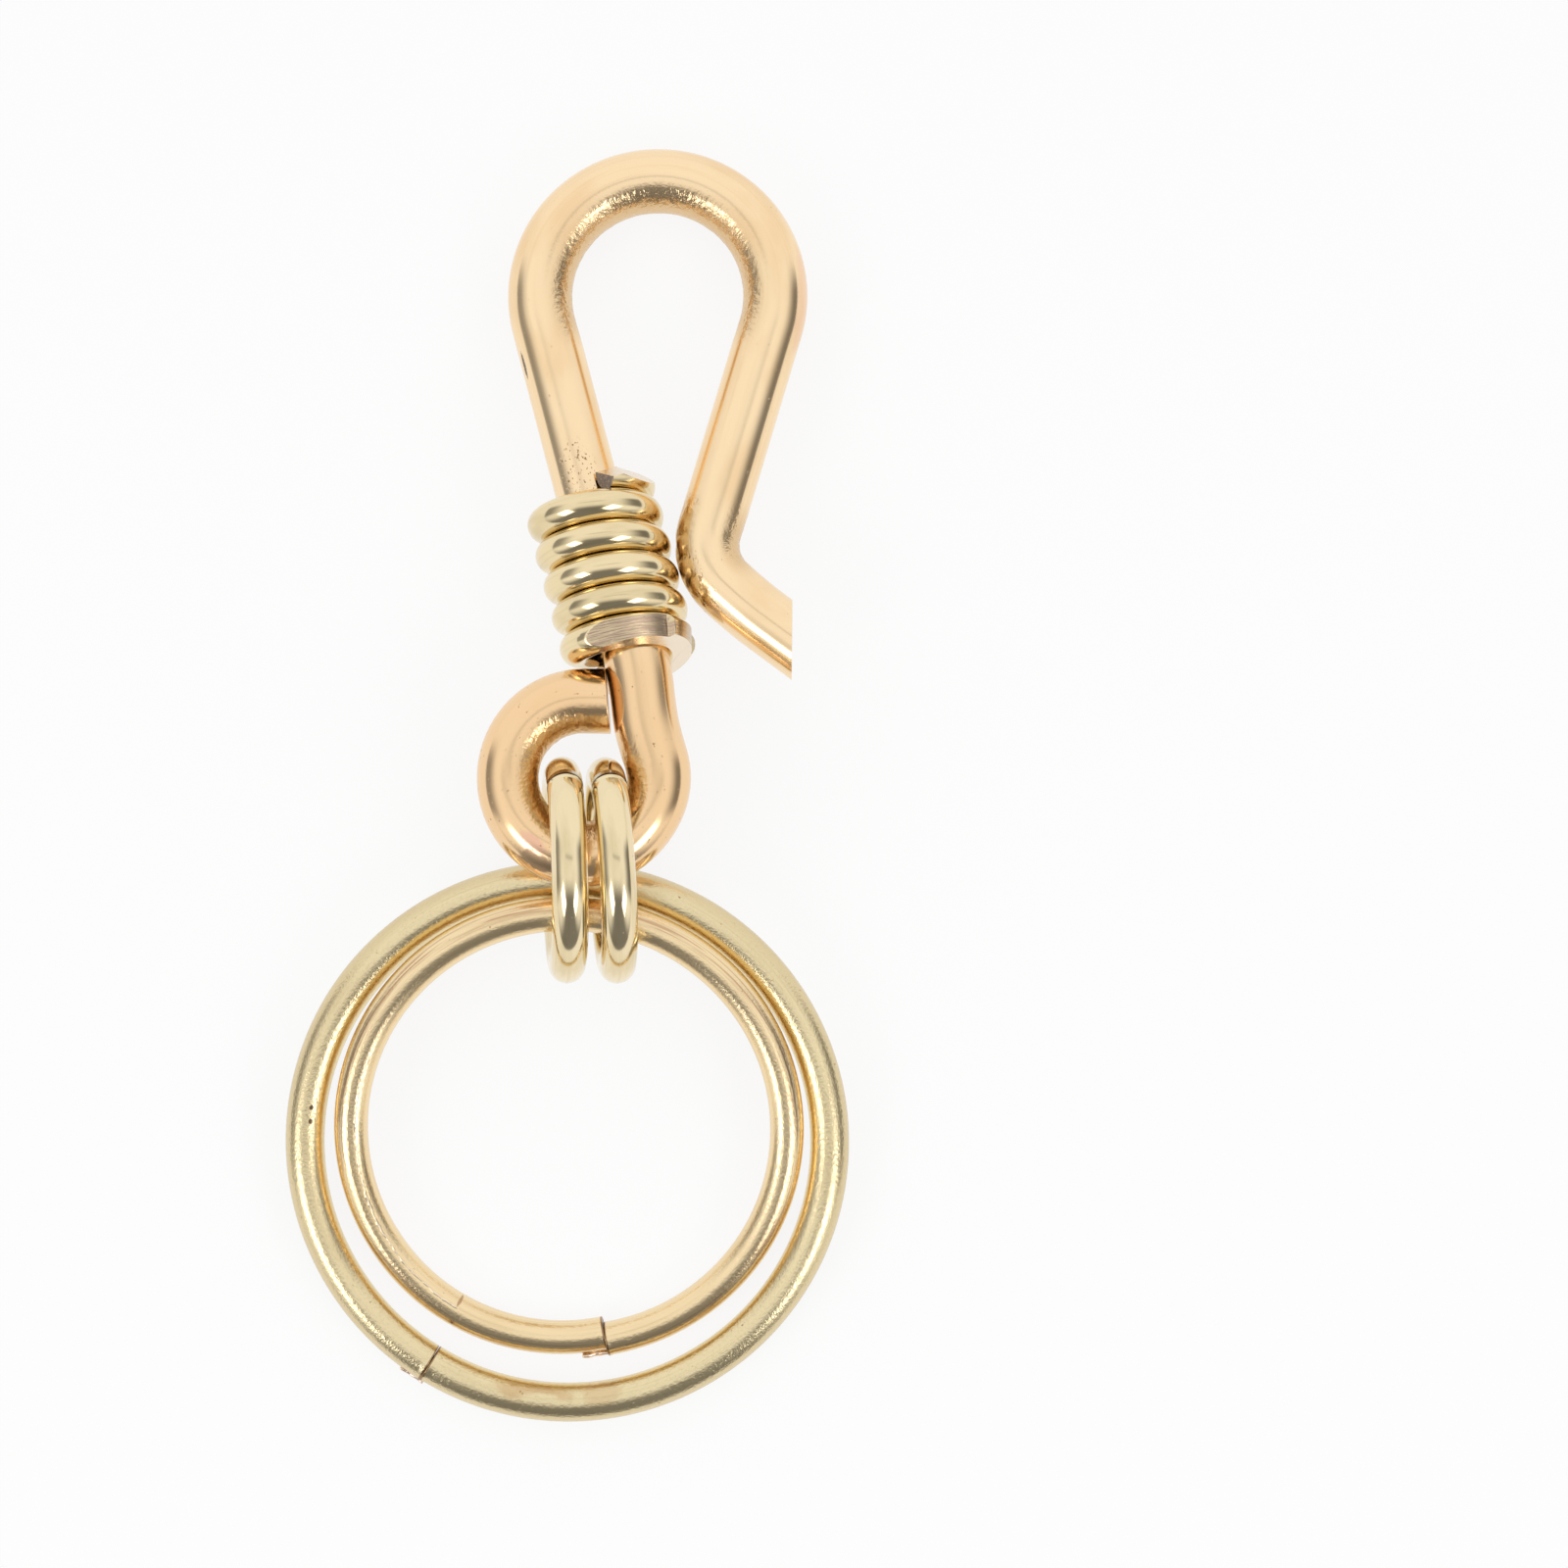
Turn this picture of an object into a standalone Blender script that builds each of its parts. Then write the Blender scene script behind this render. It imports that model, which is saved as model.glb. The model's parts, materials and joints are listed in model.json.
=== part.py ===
"""Brass key ring: a bent rod hook with a wire wrap on its shank, two link rings and two key rings.

The assembly lies flat on a table at z = 0. +X is to its right, +Y points from the key rings to
the hook's crown, and +Z is up. The origin is under the middle of its bounding box.
Lengths are in metres and angles in degrees.
"""

import math

import bmesh
import bpy
from mathutils import Matrix, Vector

# Hook rod, in the order in which it is bent, from the closed eye to the tip
ROD_DIAMETER = 0.0050
EYE_CLEARANCE = 0.0003
EYE_END_LENGTH = 0.00127
EYE_CUT_WEDGE = 7.0
EYE_CUT_GAP = 0.0003
SHANK_LENGTH = 0.0348
SHANK_LEAN = 15.3
CROWN_BEND_RADIUS = 0.00905
POINT_LEG_LENGTH = 0.0164
THROAT_BEND_RADIUS = 0.0044
THROAT_TURN = 61.5
THROAT_GAP = 0.0002
TIP_BEND_RADIUS = 0.030
TIP_TURN = 8.0
TIP_LENGTH = 0.0025

# Wire wrapped round the shank, from its cut beside the throat down to its cut above the eye
WRAP_WIRE_DIAMETER = 0.0022
WRAP_TURNS = 5.25
WRAP_PITCH = 0.00263
WRAP_BORE_GAP = 0.0003
WRAP_EYE_GAP = 0.0003
WRAP_START_ANGLE = -8.0

# The two link rings that hang side by side in the eye
LINK_WIRE_DIAMETER = 0.0028
LINK_RING_DIAMETER = 0.0173
LINK_SPACING = 0.0033
LINK_LEAN = 6.4
LINK_YAW = 3.0
LINK_SPLAY = 2.0
LINK_JOINT_ANGLE = 32.0
LINK_JOINT_GAP = 0.0002

# Key rings, which both pass through the links
LARGE_WIRE_DIAMETER = 0.0030
LARGE_RING_DIAMETER = 0.0434
LARGE_JOINT_ANGLE = 238.5
SMALL_WIRE_DIAMETER = 0.0026
SMALL_RING_CLEARANCE = 0.0013
SMALL_RING_SHIFT = 0.00017
SMALL_JOINT_ANGLE = 280.0
SMALL_CURL_ANGLE = 60.0
SMALL_END_STEP = 0.00045
KEY_JOINT_GAP = 0.0003

# How the pieces rest on each other: angles from straight down in a link, seen from +X
LARGE_SEAT_ANGLE = 12.0
EYE_SEAT_ANGLE = 28.8
EYE_SHIFT = 0.0012
SEAT_GAP = 0.0003
KEY_RING_GAP = 0.0004

# How finely round shapes are cut into flats
ROD_SIDES = 14
RING_SIDES = 12
BEND_STEP = 9.0
RING_STEP = 6.0
WRAP_POINTS_PER_TURN = 24

ROD_RADIUS = ROD_DIAMETER / 2
WRAP_WIRE_RADIUS = WRAP_WIRE_DIAMETER / 2
LINK_WIRE_RADIUS = LINK_WIRE_DIAMETER / 2
EYE_BEND_RADIUS = ROD_RADIUS + LINK_SPACING / 2 + LINK_WIRE_RADIUS + EYE_CLEARANCE
LARGE_WIRE_RADIUS = LARGE_WIRE_DIAMETER / 2
SMALL_WIRE_RADIUS = SMALL_WIRE_DIAMETER / 2
LINK_BEND_RADIUS = LINK_RING_DIAMETER / 2 - LINK_WIRE_RADIUS
LARGE_BEND_RADIUS = LARGE_RING_DIAMETER / 2 - LARGE_WIRE_RADIUS
SMALL_RING_DIAMETER = LARGE_RING_DIAMETER - 2 * LARGE_WIRE_DIAMETER - SMALL_RING_CLEARANCE
SMALL_BEND_RADIUS = SMALL_RING_DIAMETER / 2 - SMALL_WIRE_RADIUS
WRAP_HELIX_RADIUS = ROD_RADIUS + WRAP_BORE_GAP + WRAP_WIRE_RADIUS
WRAP_OUTER_RADIUS = WRAP_HELIX_RADIUS + WRAP_WIRE_RADIUS

PEACH_BRASS = (0.86, 0.62, 0.36)
GREEN_BRASS = (0.80, 0.68, 0.38)
PALE_BRASS = (0.82, 0.70, 0.42)
GOLDEN_BRASS = (0.85, 0.66, 0.37)
SATIN = 0.30
POLISHED = 0.20

SHARP_EDGE = math.radians(50)


def heading_vector(angle):
    """Unit vector in the XY plane at an angle from +X."""
    return Vector((math.cos(math.radians(angle)), math.sin(math.radians(angle)), 0))


class BentWire:
    """A round wire in the XY plane, grown from a cut end by straights and bends."""

    def __init__(self, diameter, sides, place, heading):
        self.shape = bmesh.new()
        self.place = place
        self.heading = heading
        across = Matrix.Rotation(math.radians(heading), 4, "Z") @ Matrix.Rotation(math.pi / 2, 4, "Y")
        first = bmesh.ops.create_circle(
            self.shape, segments=sides, radius=diameter / 2, matrix=Matrix.Translation(place) @ across
        )
        self.end = first["verts"]
        self.cap()

    def end_edges(self):
        """The edges of the open section at the growing end."""
        ring = set(self.end)
        return [e for e in self.shape.edges if e.verts[0] in ring and e.verts[1] in ring]

    def cap(self):
        """Closes the section with a flat face."""
        bmesh.ops.contextual_create(self.shape, geom=self.end_edges())

    def straight(self, length):
        """Carries the wire straight on."""
        grown = bmesh.ops.extrude_edge_only(self.shape, edges=self.end_edges())["geom"]
        self.end = [p for p in grown if isinstance(p, bmesh.types.BMVert)]
        step = heading_vector(self.heading) * length
        bmesh.ops.translate(self.shape, verts=self.end, vec=step)
        self.place = self.place + step

    def bend(self, radius, turn, step):
        """Carries the wire round an arc, to the left for a positive turn."""
        side = math.copysign(1, turn)
        centre = self.place + heading_vector(self.heading + 90 * side) * radius
        spun = bmesh.ops.spin(
            self.shape,
            geom=self.end + self.end_edges(),
            cent=centre,
            axis=(0, 0, side),
            angle=math.radians(abs(turn)),
            steps=max(2, math.ceil(abs(turn) / step)),
        )
        self.end = [p for p in spun["geom_last"] if isinstance(p, bmesh.types.BMVert)]
        self.heading += turn
        self.place = centre - heading_vector(self.heading + 90 * side) * radius

    def cut_end(self, point, facing):
        """Slides the end section along the wire onto a plane, as an oblique saw cut."""
        for vert in self.end:
            vert.co = slid_to_plane(vert.co, heading_vector(self.heading), point, facing)

    def finish(self, name):
        """Closes the wire's end and returns it as a mesh shaded smooth."""
        self.cap()
        bmesh.ops.recalc_face_normals(self.shape, faces=self.shape.faces)
        mesh = bpy.data.meshes.new(name)
        self.shape.to_mesh(mesh)
        self.shape.free()
        mesh.shade_smooth()
        mesh.set_sharp_from_angle(angle=SHARP_EDGE)
        return mesh


def slid_to_plane(start, along, point, facing):
    """The place where a line from a start along one direction meets a plane."""
    return start + along * ((point - start).dot(facing) / along.dot(facing))


def brass(name, colour, roughness):
    """A brass finish as a Principled material."""
    material = bpy.data.materials.new(name)
    material.use_nodes = True
    shader = material.node_tree.nodes["Principled BSDF"]
    shader.inputs["Base Color"].default_value = (*colour, 1)
    shader.inputs["Metallic"].default_value = 1
    shader.inputs["Roughness"].default_value = roughness
    return material


def add_object(name, data, material=None):
    """Puts a piece in the scene with its own finish."""
    thing = bpy.data.objects.new(name, data)
    bpy.context.scene.collection.objects.link(thing)
    if material:
        data.materials.append(material)
    return thing


def sagitta(radius, reach):
    """How far a ring's wire falls behind its tangent at a sideways distance."""
    return radius - math.sqrt(radius**2 - reach**2)


def seat_distance(wire_radius, falls_back):
    """From a link's centre to a key ring's wire that lies inside the leaning link."""
    inside = LINK_BEND_RADIUS * math.cos(math.radians(LINK_LEAN)) - LINK_WIRE_RADIUS
    return inside - wire_radius - SEAT_GAP - falls_back


def down_and_back(distance, angle):
    """A (y, z) step from a link's centre, at an angle from straight down toward -Y."""
    turn = math.radians(angle)
    return Vector((0, -distance * math.sin(turn), -distance * math.cos(turn)))


def small_seat_angle(large_seat, small_seat):
    """Where the small ring's wire meets the large one's inside a link, by the cosine rule."""
    apart = LARGE_WIRE_RADIUS + SMALL_WIRE_RADIUS + KEY_RING_GAP
    turn = (large_seat**2 + small_seat**2 - apart**2) / (2 * large_seat * small_seat)
    return LARGE_SEAT_ANGLE + math.degrees(math.acos(turn))


def hook_angles():
    """The angle between shank and point leg that brings the throat bend up to the wrap."""
    offset = WRAP_OUTER_RADIUS + THROAT_GAP + ROD_RADIUS + THROAT_BEND_RADIUS
    across = CROWN_BEND_RADIUS + THROAT_BEND_RADIUS
    span = math.hypot(across, POINT_LEG_LENGTH)
    lean = math.acos((offset - CROWN_BEND_RADIUS) / span) - math.atan2(POINT_LEG_LENGTH, across)
    return math.degrees(lean)


def shank_foot():
    """Where the shank leaves the eye, in the hook's plane, with the eye's bar at the origin."""
    return Vector((0, EYE_BEND_RADIUS, 0)) + heading_vector(SHANK_LEAN) * EYE_BEND_RADIUS


def shank_heading():
    """The direction in which the shank rises from the eye."""
    return 90 + SHANK_LEAN


def crown_height():
    """From the eye's bar to the highest point of the crown's middle line."""
    top_of_shank = shank_foot() + heading_vector(shank_heading()) * SHANK_LENGTH
    centre = top_of_shank + heading_vector(SHANK_LEAN) * CROWN_BEND_RADIUS
    return centre.y + CROWN_BEND_RADIUS


def eye_turn():
    """How far the eye's bend turns, so that the short straight past it ends beside the shank."""
    stand_off = ROD_RADIUS + EYE_CUT_GAP + ROD_RADIUS * math.sin(math.radians(EYE_CUT_WEDGE))
    reach = math.hypot(EYE_BEND_RADIUS, EYE_END_LENGTH)
    short_of_turn = math.acos((EYE_BEND_RADIUS - stand_off) / reach)
    return 360 - math.degrees(short_of_turn + math.atan2(EYE_END_LENGTH, EYE_BEND_RADIUS))


def eye_end_heading():
    """The direction in which the wire leaves the eye's cut end."""
    return shank_heading() - eye_turn()


def eye_end():
    """The middle of the eye's cut end."""
    inward = heading_vector(eye_end_heading() + 90) * EYE_BEND_RADIUS
    bend_start = Vector((0, EYE_BEND_RADIUS, 0)) - inward
    return bend_start - heading_vector(eye_end_heading()) * EYE_END_LENGTH


def eye_cut_facing():
    """The way the eye's cut end faces, a wedge's angle off the shank's side."""
    return heading_vector(SHANK_LEAN - EYE_CUT_WEDGE)


def eye_top():
    """How high the eye reaches, at its bend or at the upper corner of its cut end."""
    along = heading_vector(eye_end_heading())
    upper_side = eye_end() - heading_vector(eye_end_heading() + 90) * ROD_RADIUS
    corner = slid_to_plane(upper_side, along, eye_end(), eye_cut_facing())
    return max(2 * EYE_BEND_RADIUS + ROD_RADIUS, corner.y)


def hook_rod_mesh():
    """The hook: a closed eye, the shank, the crown, the point leg, the throat and the tip."""
    rod = BentWire(ROD_DIAMETER, ROD_SIDES, eye_end(), eye_end_heading())
    rod.cut_end(eye_end(), eye_cut_facing())
    rod.straight(EYE_END_LENGTH)
    rod.bend(EYE_BEND_RADIUS, eye_turn(), BEND_STEP)
    rod.straight(SHANK_LENGTH)
    rod.bend(CROWN_BEND_RADIUS, -(180 + hook_angles()), BEND_STEP)
    rod.straight(POINT_LEG_LENGTH)
    rod.bend(THROAT_BEND_RADIUS, THROAT_TURN, BEND_STEP)
    rod.bend(TIP_BEND_RADIUS, TIP_TURN, BEND_STEP)
    rod.straight(TIP_LENGTH)
    rod.cut_end(rod.place, Vector((1, 0, 0)))
    return rod.finish("hook_rod")


def wrap_low_end():
    """How far up the shank the wrap starts, so that its first pass just clears the eye's top."""
    lean = math.radians(SHANK_LEAN)
    above_foot = eye_top() - shank_foot().y
    rise = above_foot + WRAP_EYE_GAP + WRAP_WIRE_RADIUS + WRAP_HELIX_RADIUS * math.sin(lean)
    return rise / math.cos(lean) - WRAP_PITCH * (180 - WRAP_START_ANGLE) / 360


def wrap_points():
    """The wrap's middle line: a left-handed helix that climbs the shank from the eye."""
    along = heading_vector(shank_heading())
    right = heading_vector(SHANK_LEAN)
    low_end = wrap_low_end()
    points = []
    for i in range(round(WRAP_TURNS * WRAP_POINTS_PER_TURN) + 1):
        turns = i / WRAP_POINTS_PER_TURN
        angle = math.radians(WRAP_START_ANGLE + 360 * turns)
        out = right * math.cos(angle) + Vector((0, 0, math.sin(angle)))
        points.append(shank_foot() + along * (low_end + WRAP_PITCH * turns) + out * WRAP_HELIX_RADIUS)
    return points


def least_gap_to_itself(points):
    """The smallest space between two turns of the wrap, measured on its points."""
    apart = WRAP_POINTS_PER_TURN // 2
    pairs = ((p, q) for i, p in enumerate(points) for q in points[i + apart :])
    return min((p - q).length for p, q in pairs) - WRAP_WIRE_DIAMETER


def wrap_curve():
    """The wrap as one unbroken tube with flat cut ends."""
    points = wrap_points()
    print(f"wire_wrap: least gap to itself {1000 * least_gap_to_itself(points):.2f} mm")
    curve = bpy.data.curves.new("wire_wrap", "CURVE")
    curve.dimensions = "3D"
    curve.bevel_depth = WRAP_WIRE_RADIUS
    curve.bevel_resolution = 1
    curve.use_fill_caps = True
    spline = curve.splines.new("POLY")
    spline.points.add(len(points) - 1)
    for knot, point in zip(spline.points, points):
        knot.co = (*point, 1)
    spline.use_smooth = True
    return curve


def ring_mesh(name, wire_diameter, bend_radius, joint_angle, joint_gap, hinge, curl_angle=0, end_step=0):
    """A butt-jointed ring in its XY plane. hinge is the point of that plane put at its origin.

    A curl bends the last part of the ring tighter, so that its end lies inward of the other end.
    """
    half_gap = math.degrees(joint_gap / bend_radius) / 2
    start = heading_vector(joint_angle + half_gap) * bend_radius - hinge
    ring = BentWire(wire_diameter, RING_SIDES, start, joint_angle + half_gap + 90)
    ring.bend(bend_radius, 360 - 2 * half_gap - curl_angle, RING_STEP)
    if curl_angle:
        radius = bend_radius - end_step / (1 - math.cos(math.radians(curl_angle)))
        reach = (bend_radius - radius) * math.sin(math.radians(curl_angle)) / radius
        ring.bend(radius, curl_angle + math.degrees(math.asin(reach)), RING_STEP)
    return ring.finish(name)


def rest_places():
    """Where the stack comes to rest, from the table up, with the links' centre at y = 0."""
    lean = math.radians(LINK_LEAN)
    link = Vector((0, 0, LINK_BEND_RADIUS * math.cos(lean) + LINK_WIRE_RADIUS))
    large_falls = sagitta(LARGE_BEND_RADIUS, LINK_SPACING) * math.sin(math.radians(LARGE_SEAT_ANGLE))
    large_seat = seat_distance(LARGE_WIRE_RADIUS, large_falls)
    small_seat = seat_distance(SMALL_WIRE_RADIUS, sagitta(SMALL_BEND_RADIUS, LINK_SPACING))
    large = link + down_and_back(large_seat, LARGE_SEAT_ANGLE)
    small = link + down_and_back(small_seat, small_seat_angle(large_seat, small_seat))
    eye = large - down_and_back(ROD_RADIUS + LARGE_WIRE_RADIUS + SEAT_GAP, EYE_SEAT_ANGLE)
    return link, large, small, eye


def lying_tilt(near_height, far_height, length):
    """The slope of a flat piece whose two ends lie at different heights."""
    return math.asin((near_height - far_height) / length)


def middle_of_length(large, eye, large_tilt, hook_tilt):
    """The y halfway between the crown's outer side and the large ring's outer side."""
    crown_end = eye.y + crown_height() * math.cos(hook_tilt) + ROD_RADIUS
    ring_end = large.y - LARGE_BEND_RADIUS * (1 + math.cos(large_tilt)) - LARGE_WIRE_RADIUS
    return (crown_end + ring_end) / 2


def link_frame(yaw):
    """A link's axes: its XY plane stands upright, leans to the right and turns by yaw."""
    upright = Matrix(((0, 0, 1), (1, 0, 0), (0, 1, 0))).to_4x4()
    turn = Matrix.Rotation(math.radians(yaw), 4, "Z")
    return turn @ Matrix.Rotation(math.radians(LINK_LEAN), 4, "Y") @ upright


def in_plane(through, normal, y, z):
    """The point of a plane that has the given y and z."""
    x = through.x - (normal.y * (y - through.y) + normal.z * (z - through.z)) / normal.x
    return Vector((x, y, z))


def add_link_ring(name, side, link, eye, hook_tilt):
    """One link ring, hinged on the eye's bar. side is -1 for the left one and 1 for the right."""
    frame = link_frame(LINK_YAW + side * LINK_SPLAY / 2)
    normal = frame.col[2].to_3d()
    hole_step = Vector((0, math.cos(hook_tilt), -math.sin(hook_tilt))) * EYE_BEND_RADIUS
    in_hole = eye + hole_step + Vector((side * LINK_SPACING / 2, 0, 0))
    hinge = in_plane(in_hole, normal, eye.y, eye.z)
    centre = in_plane(in_hole, normal, link.y, link.z)
    hinge_in_ring = frame.inverted().to_3x3() @ (hinge - centre)
    mesh = ring_mesh(
        name, LINK_WIRE_DIAMETER, LINK_BEND_RADIUS, LINK_JOINT_ANGLE, LINK_JOINT_GAP, hinge_in_ring
    )
    ring = add_object(name, mesh, brass(name, GREEN_BRASS, POLISHED))
    ring.matrix_world = Matrix.Translation(hinge) @ frame


def key_ring_mesh(name, wire_diameter, bend_radius, joint_angle, curl_angle=0, end_step=0):
    """A key ring, hinged at the top, where its wire passes through the links."""
    hinge_in_ring = Vector((0, bend_radius, 0))
    return ring_mesh(
        name, wire_diameter, bend_radius, joint_angle, KEY_JOINT_GAP, hinge_in_ring, curl_angle, end_step
    )


def add_key_ring(mesh, place, tilt, colour):
    """Lays a key ring down from its hinge."""
    ring = add_object(mesh.name, mesh, brass(mesh.name, colour, SATIN))
    ring.matrix_world = Matrix.Translation(place) @ Matrix.Rotation(tilt, 4, "X")


def add_hook(eye, tilt):
    """The hook rod and its wrap, on one frame at the eye's bar that tilts them to the table."""
    frame = add_object("hook_frame", None)
    frame.matrix_world = Matrix.Translation(eye) @ Matrix.Rotation(-tilt, 4, "X")
    rod = add_object("hook_rod", hook_rod_mesh(), brass("hook_rod", PEACH_BRASS, SATIN))
    wrap = add_object("wire_wrap", wrap_curve(), brass("wire_wrap", GREEN_BRASS, POLISHED))
    rod.parent = frame
    wrap.parent = frame


def clear_scene():
    """Removes every object that the file holds."""
    for thing in list(bpy.data.objects):
        bpy.data.objects.remove(thing, do_unlink=True)


clear_scene()
link_place, large_place, small_place, eye_place = rest_places()
hook_slope = lying_tilt(eye_place.z, ROD_RADIUS, crown_height())
large_slope = lying_tilt(large_place.z, LARGE_WIRE_RADIUS, 2 * LARGE_BEND_RADIUS)
small_slope = lying_tilt(small_place.z, SMALL_WIRE_RADIUS, 2 * SMALL_BEND_RADIUS)
centring = Vector((0, -middle_of_length(large_place, eye_place, large_slope, hook_slope), 0))
link_place += centring
large_place += centring
small_place += centring + Vector((SMALL_RING_SHIFT, 0, 0))
eye_place += centring + Vector((EYE_SHIFT, 0, 0))
add_hook(eye_place, hook_slope)
add_link_ring("link_ring_left", -1, link_place, eye_place, hook_slope)
add_link_ring("link_ring_right", 1, link_place, eye_place, hook_slope)
large_mesh = key_ring_mesh("large_key_ring", LARGE_WIRE_DIAMETER, LARGE_BEND_RADIUS, LARGE_JOINT_ANGLE)
small_mesh = key_ring_mesh(
    "small_key_ring", SMALL_WIRE_DIAMETER, SMALL_BEND_RADIUS, SMALL_JOINT_ANGLE,
    SMALL_CURL_ANGLE, SMALL_END_STEP,
)
add_key_ring(large_mesh, large_place, large_slope, PALE_BRASS)
add_key_ring(small_mesh, small_place, small_slope, GOLDEN_BRASS)
bpy.context.view_layer.update()
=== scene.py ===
"""Looks of the brass key ring: a bent hook with a wrapped shank, two link rings and two key rings.

Everything is in metres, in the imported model's own frame: the table is z = 0, +Y points to the
hook's crown and +X to the side of its tip. Angles are in degrees.
"""

import json
import math

import bmesh
import bpy
from mathutils import Matrix, Vector, noise


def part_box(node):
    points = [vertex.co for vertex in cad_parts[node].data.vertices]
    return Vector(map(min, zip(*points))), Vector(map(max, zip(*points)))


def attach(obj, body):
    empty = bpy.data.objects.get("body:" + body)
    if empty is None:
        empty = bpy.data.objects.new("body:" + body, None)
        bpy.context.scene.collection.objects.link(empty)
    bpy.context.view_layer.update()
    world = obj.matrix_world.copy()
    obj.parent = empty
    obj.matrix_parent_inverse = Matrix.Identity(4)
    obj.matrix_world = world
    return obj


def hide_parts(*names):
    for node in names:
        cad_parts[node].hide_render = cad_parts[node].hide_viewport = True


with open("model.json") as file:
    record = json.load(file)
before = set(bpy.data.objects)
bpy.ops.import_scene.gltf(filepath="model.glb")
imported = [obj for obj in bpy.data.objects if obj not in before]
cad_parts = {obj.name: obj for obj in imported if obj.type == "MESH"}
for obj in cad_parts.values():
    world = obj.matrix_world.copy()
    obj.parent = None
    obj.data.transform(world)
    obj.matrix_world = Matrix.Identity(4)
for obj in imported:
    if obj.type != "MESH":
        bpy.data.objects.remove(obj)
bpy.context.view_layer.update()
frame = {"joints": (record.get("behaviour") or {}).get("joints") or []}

# The table, the light tent and the camera.
# The object lies on a white board in a tent of white cloth. The tent is open low down to the left,
# to the right and to the front, and has a slit overhead, which polished metal shows as dark lines.

TABLE_SIZE = 1.2
TABLE_WHITE = 0.92
SHADOW_SHARE = 0.15

CAMERA_AIM = Vector((0.016458, 0.000175, 0.004))
CAMERA_DISTANCE = 0.380
CAMERA_TILT = 1.016
CAMERA_TURN = 0.611
CAMERA_ROLL = 0.496
FOCAL_LENGTH = 113.5
SENSOR_WIDTH = 36.0

TENT_LEVEL = 1.0
RIGHT_GLOOM = 0.78
LEFT_GLOOM = 0.68
FRONT_GLOOM = 0.78
FRAME_GLOOM = 0.35
LAMP_WIDTH = 0.20
LAMP_LENGTH = 0.15
LAMP_DIRECTION = Vector((0.58, -0.46, 0.67))
LAMP_DISTANCE = 0.45
LAMP_GLOW = 2.6

# Where the tent's openings fade in or out, by the parts of a direction of length 1.
TENT_FOOT = (-0.02, 0.04)
SIDE_TOP = (0.22, 0.80)
SIDE_MIDDLE = 0.05
SIDE_ENDS = (0.20, 0.45)
RIGHT_EDGE = (0.50, 0.88)
LEFT_EDGE = (0.56, 0.90)
FRONT_EDGE = (0.10, 0.52)
FRONT_ENDS = (0.34, 0.62)
FRONT_WIDTH = 0.55
FRONT_TAPER = 0.64
FRAME_BACK = (0.19, 0.23, 0.03)
FRAME_ENDS = (0.25, 0.50)
FRAME_FOOT = (0.20, 0.30)


class Level:
    """A value in a node tree. Arithmetic on it adds the Math nodes that work it out."""

    def __init__(self, tree, socket=None):
        self.tree = tree
        self.socket = socket

    def node(self, kind, settings=(), sockets=(), output=0):
        """Adds a node: first its settings, then the values or links of its sockets."""
        added = self.tree.nodes.new("ShaderNode" + kind)
        for name, setting in dict(settings).items():
            setattr(added, name, setting)
        for name, value in dict(sockets).items():
            if isinstance(value, Level):
                self.tree.links.new(value.socket, added.inputs[name])
            else:
                added.inputs[name].default_value = value
        if added.outputs:
            return Level(self.tree, added.outputs[output])
        return None

    def math(self, operation, first, second=0.0):
        """One Math node."""
        return self.node("Math", {"operation": operation}, {0: first, 1: second})

    def __add__(self, other):
        return self.math("ADD", self, other)

    def __sub__(self, other):
        return self.math("SUBTRACT", self, other)

    def __mul__(self, other):
        return self.math("MULTIPLY", self, other)

    def __truediv__(self, other):
        return self.math("DIVIDE", self, other)

    def __rsub__(self, other):
        return self.math("SUBTRACT", other, self)

    def __rtruediv__(self, other):
        return self.math("DIVIDE", other, self)

    __radd__ = __add__
    __rmul__ = __mul__

    def size(self):
        """The value without its sign."""
        return self.math("ABSOLUTE", self)

    def rise(self, low, high):
        """0 below low, 1 above high and a smooth step between."""
        sockets = {"Value": self, "From Min": low, "From Max": high}
        return self.node("MapRange", {"interpolation_type": "SMOOTHSTEP"}, sockets)

    def band(self, low, high, soft):
        """1 between low and high, fading to 0 over soft on both sides."""
        return self.rise(low - soft, low) * (1 - self.rise(high, high + soft))

    def part(self, axis):
        """One part of a vector, by its axis's letter."""
        return self.node("SeparateXYZ", (), {0: self}, output=axis)

    def mixed(self, first, second):
        """From the first colour to the second, by this value."""
        sockets = {0: self, 6: first, 7: second}
        return self.node("Mix", {"data_type": "RGBA"}, sockets, output=2)


def add_mesh_object(name, shape, material):
    """Turns a bmesh into an object. Its many-sided faces are flats with sharp rims."""
    for face in shape.faces:
        face.smooth = len(face.verts) < 9
        for edge in face.edges:
            edge.smooth = edge.smooth and face.smooth
    mesh = bpy.data.meshes.new(name)
    shape.to_mesh(mesh)
    shape.free()
    mesh.materials.append(material)
    thing = bpy.data.objects.new(name, mesh)
    bpy.context.scene.collection.objects.link(thing)
    return thing


def table_finish():
    """White board. It keeps a light shadow, and shows white to the camera and in the metal."""
    material = bpy.data.materials.new("white_board")
    material.use_nodes = True
    tree = material.node_tree
    tree.nodes.clear()
    start = Level(tree)
    seen = start.node("LightPath", output="Is Camera Ray")
    mirrored = start.node("LightPath", output="Is Glossy Ray")
    through = start.node("LightPath", output="Is Transmission Ray")
    shown = (seen + mirrored + through) * (1 - SHADOW_SHARE)
    board = start.node("BsdfDiffuse", (), {"Color": (TABLE_WHITE, TABLE_WHITE, TABLE_WHITE, 1)})
    white = start.node("Emission", (), {"Color": (1, 1, 1, 1), "Strength": 1.0})
    mixed = start.node("MixShader", (), {0: shown, 1: board, 2: white})
    start.node("OutputMaterial", (), {"Surface": mixed})
    return material


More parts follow.
